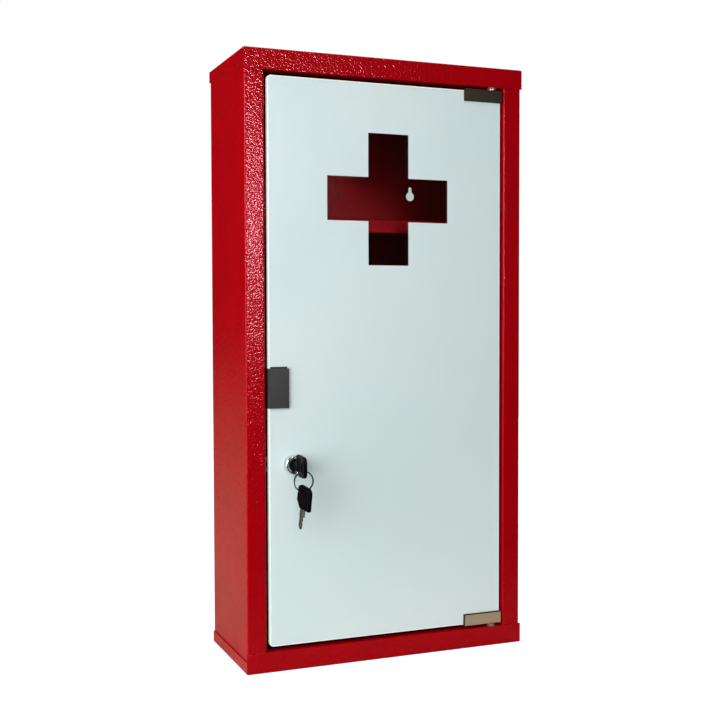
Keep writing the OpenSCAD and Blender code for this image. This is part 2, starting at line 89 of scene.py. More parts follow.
def objectPosition(tree, stretch=(1, 1, 1)):
    place = addNode(tree, "ShaderNodeTexCoord").outputs["Object"]
    return addNode(tree, "ShaderNodeMapping", {"Vector": place, "Scale": stretch}).outputs["Vector"]


def perMetre(sizeMm):
    # texture scale that gives one cell for each stretch of this many millimetres
    return 1000 / sizeMm


# materials

# nearly all values of a noise texture lie between these two
noiseLow, noiseHigh = 0.3, 0.7

powderCoatLook = {"colour": "#A6000C", "deepColour": "#9E000A", "cloudMm": 40, "grainMm": 1.85, "fineMm": 1.0,
                  "fineShare": 0.08, "reliefMm": 0.40, "roughness": 0.16, "specular": 0.25, "tint": "#FFAAB9"}


def powderCoatMaterial():
    # polyester powder coat, cured over degreased sheet steel: a leathery grain of soft
    # cells about 2 mm wide, which breaks every highlight into specks
    look = powderCoatLook
    material, tree = newMaterial("leatherGrainPowderCoat")
    place = objectPosition(tree)
    cells = addNode(tree, "ShaderNodeTexNoise", {"Vector": place, "Scale": perMetre(look["grainMm"]), "Detail": 1.0,
                                                 "Roughness": 0.4})
    fine = addNode(tree, "ShaderNodeTexNoise", {"Vector": place, "Scale": perMetre(look["fineMm"]), "Detail": 1.0})
    relief = addNode(tree, "ShaderNodeMath",
                     {0: fine.outputs["Fac"], 1: look["fineShare"], 2: cells.outputs["Fac"]},
                     operation="MULTIPLY_ADD")
    bump = addNode(tree, "ShaderNodeBump", {"Height": relief.outputs["Value"], "Strength": 1.0,
                                            "Distance": look["reliefMm"] * mm})
    cloud = addNode(tree, "ShaderNodeTexNoise", {"Vector": place, "Scale": perMetre(look["cloudMm"]), "Detail": 4.0})
    colour = addNode(tree, "ShaderNodeValToRGB", {"Fac": cloud.outputs["Fac"]},
                     stops=[(noiseLow, look["deepColour"]), (noiseHigh, look["colour"])])
    shader = addNode(tree, "ShaderNodeBsdfPrincipled",
                     {"Base Color": colour.outputs["Color"], "Roughness": look["roughness"],
                      "Specular IOR Level": look["specular"], "Specular Tint": linearColour(look["tint"]),
                      "Normal": bump.outputs["Normal"]})
    addNode(tree, "ShaderNodeOutputMaterial", {"Surface": shader.outputs["BSDF"]})
    return material


frostLook = {"colour": "#DEF0F1", "paleColour": "#E5F4F5", "cloudMm": 160, "cloudSpan": (0.35, 0.65),
             "grainMm": 0.5, "reliefMm": 0.02, "bump": 0.4, "roughness": 0.62, "specular": 0.25,
             "lightThrough": 0.12}


def frostMaterial():
    # fired frosting on glass: pale, faintly green, silky, and nearly opaque; its grain is
    # drawn coarser than the real one, so that it shows
    look = frostLook
    material, tree = newMaterial("frostedCoatOnGlass")
    place = objectPosition(tree)
    cloud = addNode(tree, "ShaderNodeTexNoise", {"Vector": place, "Scale": perMetre(look["cloudMm"]), "Detail": 3.0})
    grain = addNode(tree, "ShaderNodeTexNoise", {"Vector": place, "Scale": perMetre(look["grainMm"]), "Detail": 2.0})
    colour = addNode(tree, "ShaderNodeValToRGB", {"Fac": cloud.outputs["Fac"]},
                     stops=list(zip(look["cloudSpan"], (look["colour"], look["paleColour"]))))
    bump = addNode(tree, "ShaderNodeBump", {"Height": grain.outputs["Fac"], "Strength": look["bump"],
                                            "Distance": look["reliefMm"] * mm})
    shader = addNode(tree, "ShaderNodeBsdfPrincipled",
                     {"Base Color": colour.outputs["Color"], "Roughness": look["roughness"],
                      "Specular IOR Level": look["specular"], "Normal": bump.outputs["Normal"]})
    glow = addNode(tree, "ShaderNodeBsdfTranslucent", {"Color": linearColour(look["paleColour"])})
    mixed = addNode(tree, "ShaderNodeMixShader", {0: look["lightThrough"], 1: shader.outputs["BSDF"],
                                                  2: glow.outputs["BSDF"]})
    addNode(tree, "ShaderNodeOutputMaterial", {"Surface": mixed.outputs["Shader"]})
    return material


glassLook = {"colour": "#C2CDC8", "shadowColour": "#C6D1CB", "roughness": 0.02, "ior": 1.5}


def glassMaterial():
    # clear float glass; lamps' rays pass straight through it, so what is behind it is lit; its grey-green,
    # on camera and lamp rays alike, is deeper than real glass, painted shade that darkens the inside seen through it
    look = glassLook
    material, tree = newMaterial("floatGlass")
    glass = addNode(tree, "ShaderNodeBsdfPrincipled",
                    {"Base Color": linearColour(look["colour"]), "Roughness": look["roughness"], "IOR": look["ior"],
                     "Transmission Weight": 1.0})
    clear = addNode(tree, "ShaderNodeBsdfTransparent", {"Color": linearColour(look["shadowColour"])})
    path = addNode(tree, "ShaderNodeLightPath")
    mixed = addNode(tree, "ShaderNodeMixShader", {0: path.outputs["Is Shadow Ray"], 1: glass.outputs["BSDF"],
                                                  2: clear.outputs["BSDF"]})
    addNode(tree, "ShaderNodeOutputMaterial", {"Surface": mixed.outputs["Shader"]})
    return material


groundEdgeLook = {"colour": "#E2EFEA", "paleColour": "#F2F8F5", "gritMm": 0.4, "roughness": 0.5, "specular": 0.4,
                  "glowColour": "#E9F3EE", "lightThrough": 0.4, "paintedGlowColour": "#EFF7F3", "paintedGlow": 0.38}


def groundEdgeMaterial():
    # edge of the pane, ground with fine grit, drawn coarser so that it shows: white and silky, with a trace
    # of the glass's green, lit a little by what the pane leads to it, and given a faint painted glow
    look = groundEdgeLook
    material, tree = newMaterial("groundGlassEdge")
    grit = addNode(tree, "ShaderNodeTexNoise", {"Vector": objectPosition(tree), "Scale": perMetre(look["gritMm"]),
                                                "Detail": 2.0})
    colour = addNode(tree, "ShaderNodeValToRGB", {"Fac": grit.outputs["Fac"]},
                     stops=[(noiseLow, look["colour"]), (noiseHigh, look["paleColour"])])
    skin = addNode(tree, "ShaderNodeBsdfPrincipled",
                   {"Base Color": colour.outputs["Color"], "Roughness": look["roughness"],
                    "Specular IOR Level": look["specular"]})
    glow = addNode(tree, "ShaderNodeBsdfTranslucent", {"Color": linearColour(look["glowColour"])})
    mixed = addNode(tree, "ShaderNodeMixShader", {0: look["lightThrough"], 1: skin.outputs["BSDF"],
                                                  2: glow.outputs["BSDF"]})
    # painted glow: a weak emission in the edge's own colour, standing in for light the pane carries to it
    paintedGlow = addNode(tree, "ShaderNodeEmission", {"Color": linearColour(look["paintedGlowColour"]), "Strength": look["paintedGlow"]})
    both = addNode(tree, "ShaderNodeAddShader", {0: mixed.outputs["Shader"], 1: paintedGlow.outputs["Emission"]})
    addNode(tree, "ShaderNodeOutputMaterial", {"Surface": both.outputs["Shader"]})
    return material


brushLook = {"stretch": 0.03, "bump": 0.5, "spread": 0.02}
metalLook = {
    # nickel over brushed steel: a warm, soft streak of light
    "satin_nickel": {"name": "satinNickelPlate", "colour": "#C8B49E", "roughness": 0.18, "grainMm": 0.3,
                     "along": 0, "reliefMm": 0.0008},
    # zinc over pressed steel: dull and greyish, with no clear reflection
    "zinc_plate": {"name": "zincPlate", "colour": "#B8B4AA", "roughness": 0.42, "grainMm": 0.5,
                   "along": 2, "reliefMm": 0.004},
    # chromium over a turned barrel: cool and close to a mirror
    "chrome": {"name": "chromePlate", "colour": "#DCDCE0", "roughness": 0.12, "grainMm": 1.0,
               "along": 1, "reliefMm": 0.004},
    # nickel over stamped brass, dulled by handling
    "key_steel": {"name": "nickelPlatedBrass", "colour": "#66746E", "roughness": 0.36, "grainMm": 0.3,
                  "along": 2, "reliefMm": 0.001},
    # drawn and blued spring wire: dark, with a bright line
    "ringSteel": {"name": "springSteelRing", "colour": "#2B2D30", "roughness": 0.18, "grainMm": 0.4,
                  "along": 1, "reliefMm": 0.004},
}


def brushedMetal(look):
    # fine lines left by brushing or drawing: noise stretched along one axis, coarser than
    # the real lines so that it shows, lifts the surface and varies its roughness
    material, tree = newMaterial(look["name"])
    stretch = [1.0, 1.0, 1.0]
    stretch[look["along"]] = brushLook["stretch"]
    lines = addNode(tree, "ShaderNodeTexNoise", {"Vector": objectPosition(tree, stretch),
                                                 "Scale": perMetre(look["grainMm"]), "Detail": 3.0})
    rough = addNode(tree, "ShaderNodeMapRange",
                    {"Value": lines.outputs["Fac"], "From Min": noiseLow, "From Max": noiseHigh,
                     "To Min": look["roughness"] - brushLook["spread"],
                     "To Max": look["roughness"] + brushLook["spread"]})
    bump = addNode(tree, "ShaderNodeBump", {"Height": lines.outputs["Fac"], "Strength": brushLook["bump"],
                                            "Distance": look["reliefMm"] * mm})
    shader = addNode(tree, "ShaderNodeBsdfPrincipled",
                     {"Base Color": linearColour(look["colour"]), "Metallic": 1.0,
                      "Roughness": rough.outputs["Result"], "Normal": bump.outputs["Normal"]})
    addNode(tree, "ShaderNodeOutputMaterial", {"Surface": shader.outputs["BSDF"]})
    return material


mouldLook = {"bump": 0.6, "spread": 0.05}
mouldedLook = {
    # zinc die casting, drawn near black: almost no sheen
    "dark_plug": {"name": "nearBlackDieCast", "colour": "#0C0C0E", "roughness": 0.4, "grainMm": 0.4,
                  "reliefMm": 0.02, "specular": 0.2},
    # hard black grip of the keys: a weak, smooth sheen
    "black_plastic": {"name": "blackKeyMoulding", "colour": "#08070B", "roughness": 0.30, "grainMm": 0.5,
                      "reliefMm": 0.01, "specular": 0.03},
    # moulded pull: dark grey and silky
    "charcoal_plastic": {"name": "charcoalMoulding", "colour": "#29282B", "roughness": 0.40, "grainMm": 0.6,
                         "reliefMm": 0.03, "specular": 0.2},
    # nylon of the bushes: waxy and slightly yellow, its colour darkened to an olive grey as painted shade for the
    # shade under the clamps
    "nylon": {"name": "bushNylonWithPaintedShade", "colour": "#6A634E", "roughness": 0.35, "grainMm": 0.6,
              "reliefMm": 0.02, "specular": 0.5},
    # soft rubber: matt all over
    "rubber": {"name": "mattRubber", "colour": "#383127", "roughness": 0.8, "grainMm": 0.5,
               "reliefMm": 0.02, "specular": 0.2},
    # pressed fibre of the washer: dry, with short rough fibres
    "fibre": {"name": "pressedFibre", "colour": "#333130", "roughness": 0.85, "grainMm": 0.3,
              "reliefMm": 0.04, "specular": 0.5},
}


def mouldedSurface(look):
    # the fine grain that a mould or a press leaves, drawn coarser than life so that it shows
    material, tree = newMaterial(look["name"])
    grain = addNode(tree, "ShaderNodeTexNoise", {"Vector": objectPosition(tree), "Scale": perMetre(look["grainMm"]),
                                                 "Detail": 3.0})
    bump = addNode(tree, "ShaderNodeBump", {"Height": grain.outputs["Fac"], "Strength": mouldLook["bump"],
                                            "Distance": look["reliefMm"] * mm})
    rough = addNode(tree, "ShaderNodeMapRange",
                    {"Value": grain.outputs["Fac"], "From Min": noiseLow, "From Max": noiseHigh,
                     "To Min": look["roughness"] - mouldLook["spread"],
                     "To Max": look["roughness"] + mouldLook["spread"]})
    shader = addNode(tree, "ShaderNodeBsdfPrincipled",
                     {"Base Color": linearColour(look["colour"]), "Roughness": rough.outputs["Result"],
                      "Specular IOR Level": look["specular"], "Normal": bump.outputs["Normal"]})
    addNode(tree, "ShaderNodeOutputMaterial", {"Surface": shader.outputs["BSDF"]})
    return material


def makeMaterials():
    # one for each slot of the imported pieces, and two that only the finer pieces use
    made = {"red_powder_coat": powderCoatMaterial(), "glass": glassMaterial(), "groundEdge": groundEdgeMaterial(),
            "frosted_coat": frostMaterial()}
    made.update({slot: brushedMetal(look) for slot, look in metalLook.items()})
    made.update({slot: mouldedSurface(look) for slot, look in mouldedLook.items()})
    return made


# camera, lamps and floor

cameraLook = {"place": (-0.45670, -1.10935, 0.34717), "tilt": 87.7081, "roll": 0.1406, "heading": -22.0853,
              "lens": 57.1218, "sensor": 36, "clip": (0.01, 50)}
lampLook = {
    "sideBox": {"place": (-1.25, -0.38, 0.42), "aim": (0, 0, 0.30), "size": (1.3, 1.3), "watts": 20.0},
    "frontBox": {"place": (-0.8, -1.35, 0.65), "aim": (0, 0, 0.3), "size": (1.4, 1.4), "watts": 15.0, "gloss": False},
    "highlightBox": {"place": (0.10, -1.2, 0.55), "aim": (-0.15, -0.06, 0.45), "size": (0.06, 0.17),
                     "watts": 10.5, "diffuse": False},
    "bendBox": {"place": (-1.25, -0.50, 0.72), "aim": (-0.15, -0.06, 0.52), "size": (0.30, 0.40), "watts": 9.0,
                "diffuse": False},
    "topBox": {"place": (0.1, -0.2, 2.2), "aim": (0, 0, 0.3), "size": (1.2, 1.2), "watts": 12.0},
    "backBox": {"place": (1.6, 1.9, 1.0), "aim": (0, 0, 0.3), "size": (1.4, 1.4), "watts": 30.0, "gloss": False},
    "rimBox": {"place": (1.5, 1.0, 0.75), "aim": (0, 0, 0.3), "size": (0.6, 1.2), "watts": 4.0, "diffuse": False},
}


def makeCamera():
    data = bpy.data.cameras.new("camera")
    data.lens, data.sensor_width = cameraLook["lens"], cameraLook["sensor"]
    data.clip_start, data.clip_end = cameraLook["clip"]
    camera = bpy.data.objects.new("camera", data)
    camera.location = cameraLook["place"]
    camera.rotation_euler = [math.radians(cameraLook[k]) for k in ("tilt", "roll", "heading")]
    scene.collection.objects.link(camera)
    scene.camera = camera


def makeLamps():
    # area lamps turned to their aim: without gloss one isn't mirrored, and without diffuse
    # it is only mirrored
    for name, look in lampLook.items():
        data = bpy.data.lights.new(name, "AREA")
        data.shape, (data.size, data.size_y), data.energy = "RECTANGLE", look["size"], look["watts"]
        lamp = bpy.data.objects.new(name, data)
        lamp.location = look["place"]
        aim = Vector(look["aim"]) - Vector(look["place"])
        lamp.rotation_euler = aim.to_track_quat("-Z", "Y").to_euler()
        lamp.visible_diffuse, lamp.visible_glossy = look.get("diffuse", True), look.get("gloss", True)
        lamp.visible_transmission = False
        scene.collection.objects.link(lamp)


worldLook = {"ambient": 0.26, "mirrored": 0.01}


def makeWorld():
    # white where the camera looks past the object; a plain grey room for everything else
    world = bpy.data.worlds.new("studio")
    scene.world = world
    world.use_nodes = True
    tree = world.node_tree
    tree.nodes.clear()
    path = addNode(tree, "ShaderNodeLightPath")
    unreflected = addNode(tree, "ShaderNodeMath", {0: path.outputs["Glossy Depth"], 1: 0.5}, operation="LESS_THAN")
    through = addNode(tree, "ShaderNodeMath", {0: path.outputs["Is Transmission Ray"],
                                               1: unreflected.outputs["Value"]}, operation="MULTIPLY")
    straight = addNode(tree, "ShaderNodeMath", {0: path.outputs["Is Camera Ray"], 1: through.outputs["Value"]},
                       operation="MAXIMUM")
    room = addNode(tree, "ShaderNodeMapRange",
                   {"Value": path.outputs["Is Glossy Ray"], "From Min": 0, "From Max": 1,
                    "To Min": worldLook["ambient"], "To Max": worldLook["mirrored"]})
    # inputs 0, 2 and 3 are the share and the two strengths it mixes
    strength = addNode(tree, "ShaderNodeMix", {0: straight.outputs["Value"], 2: room.outputs["Result"], 3: 1.0})
    background = addNode(tree, "ShaderNodeBackground", {"Color": (1, 1, 1, 1), "Strength": strength.outputs[0]})
    addNode(tree, "ShaderNodeOutputWorld", {"Surface": background.outputs["Background"]})


floorLook = {"half": 6.0, "below": 0.2, "nearY": -0.45, "farY": 0.05, "roughness": 0.9, "specular": 0.1,
             "stops": [(0.0, "#38352F"), (0.55, "#C2BEB2"), (0.85, "#C2BEB2"), (1.0, "#A69E8D")],
             "paint": "#A8A8A8", "glow": 0.90}


def makeFloor():
    # a pale table top that runs out of sight on every side: near white where it is seen, and
    # darker towards the front in what it throws back at the object
    look = floorLook
    half = look["half"]
    mesh = bpy.data.meshes.new("floor")
    mesh.from_pydata([(-half, -half, 0), (half, -half, 0), (half, half, 0), (-half, half, 0)], [], [(0, 1, 2, 3)])
    floor = bpy.data.objects.new("floor", mesh)
    floor.location.z = -look["below"] * mm
    scene.collection.objects.link(floor)
    material, tree = newMaterial("paleTableTop")
    path = addNode(tree, "ShaderNodeLightPath")
    place = addNode(tree, "ShaderNodeSeparateXYZ", {"Vector": objectPosition(tree)})
    depth = addNode(tree, "ShaderNodeMapRange",
                    {"Value": place.outputs["Y"], "From Min": look["nearY"], "From Max": look["farY"],
                     "To Min": 0, "To Max": 1})
    colour = addNode(tree, "ShaderNodeValToRGB", {"Fac": depth.outputs["Result"]}, stops=look["stops"])
    table = addNode(tree, "ShaderNodeBsdfPrincipled",
                    {"Base Color": colour.outputs["Color"], "Roughness": look["roughness"],
                     "Specular IOR Level": look["specular"]})
    paint = addNode(tree, "ShaderNodeBsdfDiffuse", {"Color": linearColour(look["paint"])})
    glow = addNode(tree, "ShaderNodeEmission", {"Color": (1, 1, 1, 1), "Strength": look["glow"]})
    lit = addNode(tree, "ShaderNodeAddShader", {0: paint.outputs["BSDF"], 1: glow.outputs["Emission"]})
    seen = addNode(tree, "ShaderNodeMixShader", {0: path.outputs["Is Camera Ray"], 1: table.outputs["BSDF"],
                                                 2: lit.outputs["Shader"]})
    addNode(tree, "ShaderNodeOutputMaterial", {"Surface": seen.outputs["Shader"]})
    mesh.materials.append(material)


# surfaces from numpy

creaseAngle = math.radians(40)
# millimetres between two rows that stand for one sharp step
hair = 0.02


def addPiece(name, points, closed, material, body, stands=(), capped=False, edgeRows=None, edgeMaterial=None):
    # points[u, v] in millimetres becomes a grid of four-sided faces; closed says which of
    # the two directions joins up, and capped fills the two end rows with one face each
    rows, columns = points.shape[:2]
    u = np.arange(rows if closed[0] else rows - 1)[:, None]
    v = np.arange(columns if closed[1] else columns - 1)[None, :]
    nextU, nextV = (u + 1) % rows, (v + 1) % columns
    quads = np.stack([u * columns + v, nextU * columns + v, nextU * columns + nextV, u * columns + nextV],
                     axis=-1).reshape(-1, 4)
    # the volume the faces enclose, a third of place times area summed, is negative when
    # they point inward: their corners are then taken in the other order
    corners = (points - points.mean(axis=(0, 1))).reshape(-1, 3)[quads]
    areas = np.cross(corners[:, 2] - corners[:, 0], corners[:, 3] - corners[:, 1]) / 2
    turned = (corners.mean(axis=1) * areas).sum() < 0
    mesh = bpy.data.meshes.new(name)
    faces = (quads[:, ::-1] if turned else quads).tolist()
    if capped:
        ends = [list(range(columns)), list(range(rows * columns - 1, (rows - 1) * columns - 1, -1))]
        faces += [end[::-1] for end in ends] if turned else ends
    mesh.from_pydata((points.reshape(-1, 3) * mm).tolist(), [], faces)
    mesh.materials.append(material)
    if edgeRows is not None:
        mesh.materials.append(edgeMaterial)
        onEdge = np.broadcast_to(edgeRows[None, :], (len(u), v.shape[1])).reshape(-1).astype(np.int32)
        mesh.polygons.foreach_set("material_index", onEdge)
    mesh.polygons.foreach_set("use_smooth", np.ones(len(mesh.polygons), dtype=bool))
    mesh.set_sharp_from_angle(angle=creaseAngle)
    piece = bpy.data.objects.new(name, mesh)
    scene.collection.objects.link(piece)
    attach(piece, body)
    if stands:
        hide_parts(*stands)
    return piece


def outlineNormals(outline):
    # unit vectors that point out of a closed outline drawn anticlockwise
    along = np.roll(outline, -1, axis=0) - np.roll(outline, 1, axis=0)
    along /= np.linalg.norm(along, axis=1, keepdims=True)
    return np.stack([along[:, 1], -along[:, 0]], axis=1)


def aroundPoint(outline, centre, directions):
    # where rays from the centre cross a closed outline, by its reach as a function of angle
    rays = outline - centre
    angle = np.unwrap(np.arctan2(rays[:, 1], rays[:, 0]))
    reach = np.interp(directions, angle, np.linalg.norm(rays, axis=1), period=2 * np.pi)
    return centre + reach[:, None] * np.stack([np.cos(directions), np.sin(directions)], axis=1)


def hullOfCircles(centres, radii, count=1440):
    # the furthest point of all the circles in each direction, so the outline is a tight
    # belt round them; spread evenly along its length afterwards
    turn = np.linspace(0, 2 * np.pi, count, endpoint=False)
    way = np.stack([np.cos(turn), np.sin(turn)], axis=1)
    furthest = np.argmax(way @ centres.T + radii, axis=1)
    belt = centres[furthest] + radii[furthest][:, None] * way
    return evenly(belt, count)


def evenly(outline, count):
    # the same closed outline with its points an equal distance apart
    loop = np.vstack([outline, outline[:1]])
    gone = np.concatenate([[0], np.cumsum(np.linalg.norm(np.diff(loop, axis=0), axis=1))])
    at = np.linspace(0, gone[-1], count, endpoint=False)
    return np.stack([np.interp(at, gone, loop[:, k]) for k in (0, 1)], axis=1)


def quarter(radius, count):
    # inset and drop along a quarter round, from the flat face to the side
    turn = np.linspace(0, np.pi / 2, count)
    return radius * (1 - np.sin(turn)), radius * (1 - np.cos(turn))


def smoothStep(value, low, high):
    # 0 up to low, 1 from high on, and a level-ended curve between them
    x = np.clip((value - low) / (high - low), 0, 1)
    return x * x * (3 - 2 * x)


def placed(points, *steps):
    # turns are about x, y or z in degrees, moves are triples, applied in the order given
    for step in steps:
        if isinstance(step[0], str):
            i, j = {"x": (1, 2), "y": (2, 0), "z": (0, 1)}[step[0]]
            c, s = math.cos(math.radians(step[1])), math.sin(math.radians(step[1]))
            turned = points.copy()
            turned[..., i] = c * points[..., i] - s * points[..., j]
            turned[..., j] = s * points[..., i] + c * points[..., j]
            points = turned
        else:
            points = points + np.array(step)
    return points


def lockCentre():
    # x and z of the lock's axis, in millimetres
    low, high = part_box("lock_barrel")
    return np.array([(low[0] + high[0]) / 2, (low[2] + high[2]) / 2]) / mm


# door pane

paneLook = {"corner": 4.0, "arris": 0.6, "arrisSteps": 6, "margin": 1.3, "hole": 8.3, "coatGap": 0.02}


def makePane(materials):
    # float glass cut to size, drilled for the lock, its edges and arrises ground silky: each
    # row of the surface is the outline or the hole, drawn in by an inset, at a depth in the
    # glass; rows run out over the front, round the edge, and back over the rear to the hole
    look = paneLook
    low, high = (np.array(corner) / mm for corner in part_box("door_glass"))
    # its front stands clear of the coat, so that no two faces share one plane
    low[1] += look["coatGap"]
    thick = high[1] - low[1]
    left, right, bottom, top = (low[0] + look["corner"], high[0] - look["corner"],
                                low[2] + look["corner"], high[2] - look["corner"])
    outer = hullOfCircles(np.array([[left, bottom], [right, bottom], [right, top], [left, top]]),
                          np.full(4, look["corner"]))
    lock = lockCentre()
    rays = outer - lock
    angle = np.unwrap(np.arctan2(rays[:, 1], rays[:, 0]))
    fromLock = np.stack([np.cos(angle), np.sin(angle)], axis=1)
    inner = lock + look["hole"] * fromLock
    inset, drop = quarter(look["arris"], look["arrisSteps"])
    flatIn = look["arris"] + hair
    inward = np.concatenate([inset[::-1], [flatIn, look["margin"]], inset, inset[::-1], [flatIn, flatIn], inset])
    deep = np.concatenate([drop[::-1], [0, 0], drop, thick - drop[::-1], [thick, thick], thick - drop])
    row = np.arange(len(inward))
    frontFace, rearFace = look["arrisSteps"], len(inward) - 2 - look["arrisSteps"]
    atHole = (row <= frontFace) | (row > rearFace)
    ground = ~np.isin(row, [frontFace, rearFace])
    flat = np.where(atHole[None, :, None], inner[:, None] + fromLock[:, None] * inward[None, :, None],
                    outer[:, None] - outlineNormals(outer)[:, None] * inward[None, :, None])
    points = np.stack([flat[..., 0], np.broadcast_to(low[1] + deep, flat.shape[:2]), flat[..., 1]], axis=-1)
    addPiece("doorPane", points, (True, True), materials["glass"], "door", ["door_glass"],
             edgeRows=ground, edgeMaterial=materials["groundEdge"])


# keys

# lengths run along the key from its shoulder, which is 0, and the grip lies at minus x; each
# corner of the grip is x, up and radius, and each hole is x, up, half length and radius
headLook = {"corners": ((-9.5, 9.5, 2.0), (-8.5, -3.55, 1.0), (-15.6, -6.5, 3.0), (-25.5, -5.0, 4.5),
                        (-24.5, 5.0, 5.5)),
            "thick": 3.6, "edge": 0.9, "edgeSteps": 6, "holeEdge": 0.35, "holeEdgeSteps": 4, "around": 240,
            "panelIn": 2.4, "panelSlope": 0.9, "panelFromHole": (1.0, 1.8), "panelDeep": 0.3,
            "ribs": 4, "firstRib": -10.5, "ribPitch": 2.2, "ribDeep": 0.3, "ribHalf": (0.25, 0.75),
            "ribFade": 0.8, "facing": 44,
            "lockHole": (-24.0, 0.0, 2.6, 1.8), "hangingHole": (-24.3, -2.55, 0.35, 1.5)}
# plugFace is the y of the plug's face, and ringY and ringLow the place of the ring's lowest
# wire, which passes the hanging key at wireX, holeY; that key turns by yaw and lean, degrees
keyPlace = {"plugFace": -67.0, "ringY": -91.0, "ringLow": 179.5713, "yaw": 16, "lean": 12,
            "wireX": -24.6, "holeY": 2.0}


def headPoints(holeX, holeUp, holeHalf, holeRadius):
    # moulded grip, drawn flat with the key's tip towards +x: rows run from the hole over the
    # front face to the rim, round it, and back over the rear face to the hole; the hole is a
    # slot across the grip; a sunk panel and its ribs are taken from the face's height by
    # smooth steps of the distance to the rim, to the hole and to each rib's line
    look = headLook
    corners = np.array(look["corners"])
    outer = evenly(hullOfCircles(corners[:, :2], corners[:, 2]), look["around"])
    hole = np.array([holeX, holeUp])
    rays = outer - hole
    angle = np.unwrap(np.arctan2(rays[:, 1], rays[:, 0]))
    slot = hullOfCircles(np.array([hole + [0, holeHalf], hole - [0, holeHalf]]), np.full(2, holeRadius))
    inner = aroundPoint(slot, hole, angle)
    normal, slotNormal = outlineNormals(outer), outlineNormals(inner)
    half = look["thick"] / 2
    rimIn, rimDrop = quarter(look["edge"], look["edgeSteps"])
    lipIn, lipDrop = quarter(look["holeEdge"], look["holeEdgeSteps"])
    near, far = inner + slotNormal * look["holeEdge"], outer - normal * look["edge"]
    share = np.linspace(0, 1, look["facing"])[1:-1]
    face = near[:, None] * (1 - share[None, :, None]) + far[:, None] * share[None, :, None]
    span = np.linalg.norm(far - near, axis=1)[:, None]
    fromRim, fromHole = (1 - share)[None, :] * span, share[None, :] * span
    panel = look["panelDeep"] * smoothStep(fromRim, look["panelIn"] - look["panelSlope"], look["panelIn"]) \
        * smoothStep(fromHole, *look["panelFromHole"])
    ribLines = look["firstRib"] - look["ribPitch"] * np.arange(look["ribs"])
    across = np.abs(face[..., 0, None] - ribLines)
    inPanel = smoothStep(fromRim, look["panelIn"], look["panelIn"] + look["ribFade"])
    ribs = (1 - smoothStep(across, *look["ribHalf"])).sum(axis=-1) * inPanel
    height = half - panel - look["ribDeep"] * ribs

    def row(flat, z):
        return np.concatenate([flat, np.broadcast_to(np.asarray(z, float), flat.shape[:1])[:, None]], axis=1)[:, None]

    def side(sign):
        lip = [row(inner + slotNormal * e, sign * (half - d)) for e, d in zip(lipIn[::-1], lipDrop[::-1])]
        middle = np.concatenate([face, (sign * height)[..., None]], axis=2)
        rim = [row(outer - normal * e, sign * (half - d)) for e, d in zip(rimIn, rimDrop)]
        return np.concatenate(lip + [middle] + rim, axis=1)

    return np.concatenate([side(1), side(-1)[:, ::-1]], axis=1)


bladeLook = {"neck": 7.5, "neckHalf": 3.55, "half": 2.75, "long": 12.5, "tip": 3.0, "tipHalf": 0.8, "thick": 1.8,
             "cuts": (1.5, 0.6, 1.9, 0.9, 1.4), "cutPitch": 2.1, "firstCut": 1.6, "cutsFrom": 0.4, "land": 0.7,
             "groove": 0.45, "edgeThin": 0.15, "rows": 190,
             "section": (0, 0.05, 0.30, 0.36, 0.52, 0.58, 0.95, 1.0)}


def bladePoints():
    # flat blade with a deep bitted edge and a milled groove along each face: a small closed
    # section carried along the key, its two edges given as functions of the distance; the
    # bitted edge falls to each cut and rises halfway between two cuts, by straight slopes
    look = bladeLook
    x = np.sort(np.concatenate([np.linspace(-look["neck"], look["long"], look["rows"]), [-hair, hair]]))
    toTip = np.clip((x - (look["long"] - look["tip"])) / look["tip"], 0, 1)
    width = np.where(x < 0, look["neckHalf"], look["half"]) * (1 - toTip) + look["tipHalf"] * toTip
    centres = look["firstCut"] + look["cutPitch"] * np.arange(len(look["cuts"]))
    between = centres + look["cutPitch"] / 2
    knots = np.concatenate([[look["cutsFrom"]], centres, between])
    depths = np.concatenate([[0], look["cuts"], np.interp(between, centres, look["cuts"]) - look["land"]])
    order = np.argsort(knots)
    cut = look["land"] + np.interp(x, knots[order], depths[order])
    upper = np.where(x > look["cutsFrom"], np.minimum(width, look["half"] - cut), width)
    lower = -width
    share = np.array(look["section"])
    z = np.full(len(share), look["thick"] / 2)
    z[[0, -1]] -= look["edgeThin"]
    # the groove's floor lies between the fourth and the fifth place of the section
    z[3:5] -= look["groove"]
    sectionShare = np.concatenate([share, share[::-1]])
    sectionZ = np.concatenate([z, -z[::-1]])
    y = lower[:, None] + (upper - lower)[:, None] * sectionShare[None, :]
    return np.stack([np.broadcast_to(x[:, None], y.shape), y, np.broadcast_to(sectionZ[None, :], y.shape)], axis=-1)


def makeKeys(materials):
    # the inserted key points back along the lock's axis; its spare hangs from the ring
    lock = lockCentre()
    heads = [headPoints(*headLook[hole]) for hole in ("lockHole", "hangingHole")]
    blades = [bladePoints()] * 2
    for name, (near, hung), slot, nodes in (
            ("Head", heads, "black_plastic", ("key_head", "spare_key_head")),
            ("Blade", blades, "key_steel", ("key_blade", "spare_key_blade"))):
        inLock = np.roll(near, 1, axis=-1) + np.array([lock[0], keyPlace["plugFace"], lock[1]])
        hanging = placed(hung, ("x", 180), (-keyPlace["wireX"], -keyPlace["holeY"], 0), ("y", 90),
                         ("x", keyPlace["lean"]), ("z", keyPlace["yaw"]),
                         (lock[0], keyPlace["ringY"], keyPlace["ringLow"]))
        closed, capped = (name == "Head", True), name == "Blade"
        addPiece("lockKey" + name, inLock, closed, materials[slot], "key", [nodes[0]], capped=capped)
        addPiece("hangingKey" + name, hanging, closed, materials[slot], "spare_key", [nodes[1]], capped=capped)


ringLook = {"radius": 9.4, "wire": 0.6, "pitch": 1.1, "centreZ": 188.9714, "gap": 0.34, "seam": 200,
            "crossing": 0.20, "rows": 420, "around": 20}


